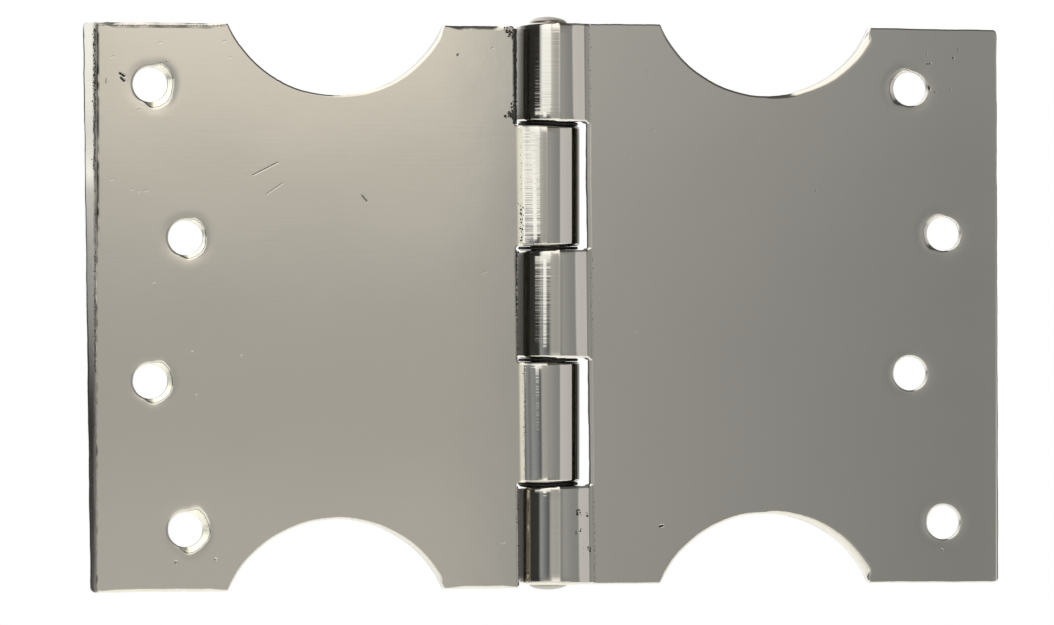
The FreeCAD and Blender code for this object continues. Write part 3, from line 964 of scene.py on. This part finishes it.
left_trails = [
    ((6.95, -48.6), (6.95, -36.3), 0.5, 0.16, 0.1, 0.06, 0.26),
    ((7.0, -9.6), (7.0, 10.4), 0.5, 0.2, 0.1, 0.06, 0.24),
    ((7.3, 33.0), (7.3, 51.0), 0.5, 0.25, 0.1, 0.06, 0.22),
    ((7.3, -49.8), (7.3, -33.0), 0.0, 0.3, 0.08, 0.04, 0.16),
    ((7.3, -9.4), (7.3, 10.4), 0.0, 0.5, 0.06, 0.04, 0.13),
    ((7.5, 33.4), (7.5, 51.0), 0.0, 0.6, 0.06, 0.04, 0.12),
    ((6.1, -31.9), (6.1, -18.0), 0.0, 0.3, 0.06, 0.03, 0.1),
    ((6.1, -18.0), (6.1, -10.9), 0.0, 0.12, 0.16, 0.04, 0.18),
    ((6.0, 11.2), (6.0, 31.8), 0.0, 0.24, 0.1, 0.04, 0.14),
    ((4.6, -10.9), (2.4, -10.9), 0.0, 0.14, 0.12, 0.04, 0.12),
    ((8.4, -49.6), (7.4, -48.4), 0.0, 0.02, 0.3, 0.04, 0.24),
    ((8.5, -34.3), (7.3, -34.0), 0.0, 0.018, 0.3, 0.04, 0.26),
    ((7.6, -36.4), (7.2, -32.4), 0.0, 0.04, 0.2, 0.04, 0.24),
    ((82.65, -49.0), (82.65, -24.0), 0.06, 0.016, 0.17, 0.03, 0.12),
    ((82.6, -24.0), (82.6, 12.0), 0.06, 0.04, 0.13, 0.03, 0.11),
    ((59.4, -49.7), (82.6, -49.6), 0.0, 0.05, 0.06, 0.02, 0.09),
    ((7.6, -49.8), (19.2, -49.9), 0.0, 0.3, 0.05, 0.03, 0.09),
    ((71.0, -43.1), (69.4, -43.3), 0.0, 0.2, 0.1, 0.04, 0.12),
]
crumbs = residue_tree()
right_residue = residue_object("right_leaf_residue", right_trails, 0.0, black, crumbs, roll)
left_residue = residue_object("left_leaf_residue", left_trails, math.pi, black, crumbs, roll)
grease_and_shade_rings = grease_and_shade_object("knuckle_grease_and_shade", grease_and_shade)
slot_dirt = slot_dirt_object("left_slot_dirt", black)
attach(slot_dirt, "swinging_leaf")
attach(right_residue, "fixed_leaf")
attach(left_residue, "swinging_leaf")
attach(grease_and_shade_rings, "fixed_leaf")
for piece, body, node, slot in (
    (right_leaf, "fixed_leaf", "right_leaf", "leaf_nickel"),
    (left_leaf, "swinging_leaf", "left_leaf", "leaf_nickel"),
    (pin, "fixed_leaf", "pin", "pin_nickel"),
):
    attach(piece, body)
    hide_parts(node)


def studio():
    """A tent of soft panels and dark flags round the hinge, a pale floor and a white background."""
    world = bpy.data.worlds.new("white studio")
    bpy.context.scene.world = world
    world.use_nodes = True
    tree = world.node_tree
    tree.nodes.clear()
    ray = add(tree, "ShaderNodeLightPath").outputs
    seen = ray["Is Camera Ray"]
    for kind in ("Is Glossy Ray", "Is Transmission Ray"):
        seen = add(tree, "ShaderNodeMath", {0: seen, 1: ray[kind]}, operation="MAXIMUM").outputs[0]
    soft = add(tree, "ShaderNodeBackground", {"Color": (0.8, 0.8, 0.8, 1.0), "Strength": 0.6}).outputs[0]
    white = add(tree, "ShaderNodeBackground", {"Color": (1.0, 1.0, 1.0, 1.0), "Strength": 1.0}).outputs[0]
    mixed = add(tree, "ShaderNodeMixShader", {0: seen, 1: soft, 2: white}).outputs[0]
    add(tree, "ShaderNodeOutputWorld", {"Surface": mixed})

    bpy.ops.mesh.primitive_uv_sphere_add(segments=48, ring_count=24, radius=2.4)
    tent = bpy.context.object
    tent.name = "studio_tent"
    tent.visible_camera = False
    tent.visible_shadow = False
    panel = bpy.data.materials.new("studio panels")
    panel.use_nodes = True
    tree = panel.node_tree
    tree.nodes.clear()
    place = add(tree, "ShaderNodeTexCoord").outputs["Object"]
    way = add(tree, "ShaderNodeVectorMath", {0: place}, operation="NORMALIZE").outputs[0]
    x, y, z = add(tree, "ShaderNodeSeparateXYZ", {0: way}).outputs
    ahead = add(tree, "ShaderNodeMath", {0: y, 1: -1.0}, operation="MULTIPLY").outputs[0]
    turn = add(tree, "ShaderNodeMath", {0: x, 1: ahead}, operation="ARCTAN2").outputs[0]
    around = add(tree, "ShaderNodeMapRange", {
        "Value": turn, "From Min": -math.pi, "From Max": math.pi}).outputs[0]
    rise = add(tree, "ShaderNodeMath", {0: z}, operation="ARCSINE").outputs[0]
    height = add(tree, "ShaderNodeMapRange", {
        "Value": rise, "From Min": -math.pi / 2, "From Max": math.pi / 2}).outputs[0]

    def grey(level, warm=0.0):
        """A grey light, a little warm, or cool where warm is below zero."""
        return (level * (1 + warm), level, level * (1 - 1.4 * warm))

    # Panels and flags: degrees round from the middle of the view, or up from level, and the light there as
    # a grey, as a grey with its warmth, or as red, green and blue
    ramps = {
        "low panels": (around, 180, (
            (-180, 1.0), (-173, 1.0), (-169, 0.2), (-154, 0.13), (-135, 0.1), (-121, 0.1),
            (-109, 0.06), (-98, 0.04), (-44, 0.045), (-35, 0.36, -0.05), (-28, 0.31, -0.05),
            (-14, 0.13, -0.05), (-9, 0.48), (-4, 0.46), (1.2, 0.44), (1.9, 0.50, 0.02),
            (9.45, 0.50, 0.02), (9.75, 0.43, -0.005), (17.9, 0.265, -0.02), (18.8, 0.42, -0.01),
            (22, 0.39, -0.01), (28, 0.34, -0.01), (37, 0.32, -0.01), (39.5, 0.70, 0.68, 0.705),
            (92, 0.60, 0.59, 0.61), (97, 0.03), (124, 0.03), (134, 0.3), (180, 0.45),
        )),
        "high panels": (around, 180, (
            (-180, 1.0), (-173, 1.0), (-169, 0.48), (-154, 0.46), (-135, 0.3), (-121, 0.17),
            (-109, 0.1), (-98, 0.025), (-44, 0.03), (-35, 0.2, 0.01), (-10.5, 0.2, 0.01), (-8.5, 0.76),
            (-5, 0.61), (-2, 0.53), (1.2, 0.48), (1.9, 0.90, 0.045), (9.45, 0.90, 0.045),
            (9.75, 0.525, 0.0), (17.9, 0.31, -0.02), (18.8, 0.43, -0.01), (22, 0.39, -0.01),
            (28, 0.345, -0.01), (37, 0.32, -0.01), (39.5, 0.72, 0.70, 0.72), (92, 0.63, 0.61, 0.63),
            (97, 0.03), (124, 0.03), (134, 0.4), (180, 0.6),
        )),
        "upward": (height, 90, (
            (-1.1, 0.0), (-0.4, 0.02), (0.2, 0.07), (0.8, 0.17), (1.4, 0.31), (2.3, 0.38), (2.8, 0.58),
            (3.17, 0.8), (3.8, 0.8), (4.2, 0.88), (4.6, 1.0),
        )),
        "lamp": (around, 180, (
            (-41, 0.0), (-36, 0.55, -0.015), (-29, 1.05, -0.015), (-10.5, 1.05, -0.015), (-8.5, 0.0),
        )),
        "lamp height": (height, 90, (
            (-60, 0.2), (-50, 1.0), (-13, 1.0), (-8, 0.0), (2.6, 0.0), (2.95, 1.0), (74, 1.0),
            (85, 0.2),
        )),
        "right side": (around, 180, (
            (9.45, 0.0), (9.75, 1.0), (75, 1.0), (90, 0.0),
        )),
        "left rims": (height, 90, (
            (-90, 0.2), (-66, 0.2), (-55, 2.2), (-12, 2.0), (-6, 1.1), (-3.2, 1.09), (-2.4, 1.0),
            (4.8, 1.0), (10, 1.7), (74, 1.8), (85, 0.2), (90, 0.2),
        )),
        "right rims": (height, 90, (
            (-90, 0.2), (-20, 0.3), (-9, 1.0), (8, 1.0), (20, 0.3), (90, 0.25),
        )),
        "rim panels": (around, 180, (
            (-180, 1.0), (-150, 0.95), (-125, 0.3), (-98, 0.03), (-44, 0.03), (-35, 0.2), (-10.5, 0.3),
            (-7, 0.8), (1, 0.88, 0.04), (7, 0.66, 0.03), (12, 0.42), (17.9, 0.31), (37, 0.32),
            (39.5, 0.70), (92, 0.62), (97, 0.03), (124, 0.03), (134, 0.4), (180, 0.6),
        )),
        "rim height": (height, 90, (
            (-7.5, 1.0), (-5.4, 0.0), (4.9, 0.0), (6.5, 1.0),
        )),
        "wide lamp": (around, 180, (
            (-60, 0.0), (-54, 1.08, 0.005), (-12, 1.08, 0.005), (-9.5, 0.0),
        )),
        "wide lamp height": (height, 90, (
            (0.65, 0.0), (0.9, 1.0), (2.4, 1.0), (2.75, 0.0),
        )),
        "thin lamp": (around, 180, (
            (-28, 0.0), (-26, 0.9), (-19, 0.9), (-17.5, 0.0),
        )),
        "thin lamp height": (height, 90, (
            (-1.1, 0.0), (-0.8, 0.9), (0.8, 1.0), (1.05, 0.0),
        )),
    }
    light = {}
    for name, (value, reach, stops) in ramps.items():
        node = add(tree, "ShaderNodeValToRGB", {0: value})
        elements = node.color_ramp.elements
        while len(elements) < len(stops):
            elements.new(0.5)
        for element, (at, *tone) in zip(elements, stops):
            element.position = at / (2 * reach) + 0.5
            element.color = (tuple(tone) if len(tone) == 3 else grey(*tone)) + (1.0,)
        light[name] = node.outputs[0]
    # The panels for rays from the faces and from the rims, shaded up and down, and three lamps added to them
    for name, kind, share, a, b in (
        ("panels", "MIX", "upward", "low panels", "high panels"),
        ("all panels", "MIX", "rim height", "panels", "rim panels"),
        ("rims", "MIX", "right side", "left rims", "right rims"),
        ("shaded", "MULTIPLY", 1.0, "all panels", "rims"),
        ("lamp glow", "MULTIPLY", 1.0, "lamp", "lamp height"),
        ("with lamp", "ADD", 1.0, "shaded", "lamp glow"),
        ("wide glow", "MULTIPLY", 1.0, "wide lamp", "wide lamp height"),
        ("with wide lamp", "ADD", 1.0, "with lamp", "wide glow"),
        ("thin glow", "MULTIPLY", 1.0, "thin lamp", "thin lamp height"),
        ("whole", "ADD", 1.0, "with wide lamp", "thin glow"),
    ):
        values = {"Factor": light.get(share, share), 6: light[a], 7: light[b]}
        light[name] = add(tree, "ShaderNodeMix", values, data_type="RGBA", blend_type=kind).outputs[2]
    glow = add(tree, "ShaderNodeEmission", {"Color": light["whole"], "Strength": 1.0}).outputs[0]
    add(tree, "ShaderNodeOutputMaterial", {"Surface": glow})
    panel.cycles.emission_sampling = "NONE"
    tent.data.materials.append(panel)
    tent.data.shade_smooth()

    bpy.ops.mesh.primitive_circle_add(vertices=96, radius=1.8, fill_type="NGON", location=(0, 0, -0.32))
    floor = bpy.context.object
    floor.name = "studio_floor"
    pale = bpy.data.materials.new("pale paper floor")
    pale.use_nodes = True
    paper = pale.node_tree.nodes["Principled BSDF"].inputs
    paper["Base Color"].default_value = linear("#f4f4f2")
    paper["Roughness"].default_value = 0.9
    floor.data.materials.append(pale)
    lamp_data = bpy.data.lights.new("overhead softbox", "AREA")
    lamp_data.size = 2.0
    lamp_data.energy = 40.0
    softbox = bpy.data.objects.new("overhead_softbox", lamp_data)
    softbox.location = (0, 0, 1.5)
    softbox.visible_glossy = False
    bpy.context.scene.collection.objects.link(softbox)


def camera():
    """The photograph's view: level with the middle of the hinge and ten degrees to its left."""
    distance = 0.870
    side = math.radians(10.0)
    data = bpy.data.cameras.new("photo view")
    eye = bpy.data.objects.new("photo view", data)
    bpy.context.scene.collection.objects.link(eye)
    pixels_per_mm = 5.502
    wide, high = 1054, 625
    axis_at = (548.0, 304.0)
    focal_pixels = pixels_per_mm * distance / MM
    data.sensor_width = 36.0
    data.lens = 36.0 * focal_pixels / wide
    place = Vector((-distance * math.sin(side), -distance * math.cos(side), 0))
    right_way = Vector((math.cos(side), -math.sin(side), 0))
    aim = right_way * ((wide / 2 - axis_at[0]) / pixels_per_mm * MM)
    aim.z = -(high / 2 - axis_at[1]) / pixels_per_mm * MM
    eye.location = place
    eye.rotation_mode = "QUATERNION"
    eye.rotation_quaternion = (aim - place).to_track_quat("-Z", "Y")
    data.clip_start = 0.05
    data.clip_end = 20
    bpy.context.scene.camera = eye


studio()
camera()
bpy.context.scene.view_settings.view_transform = "Standard"
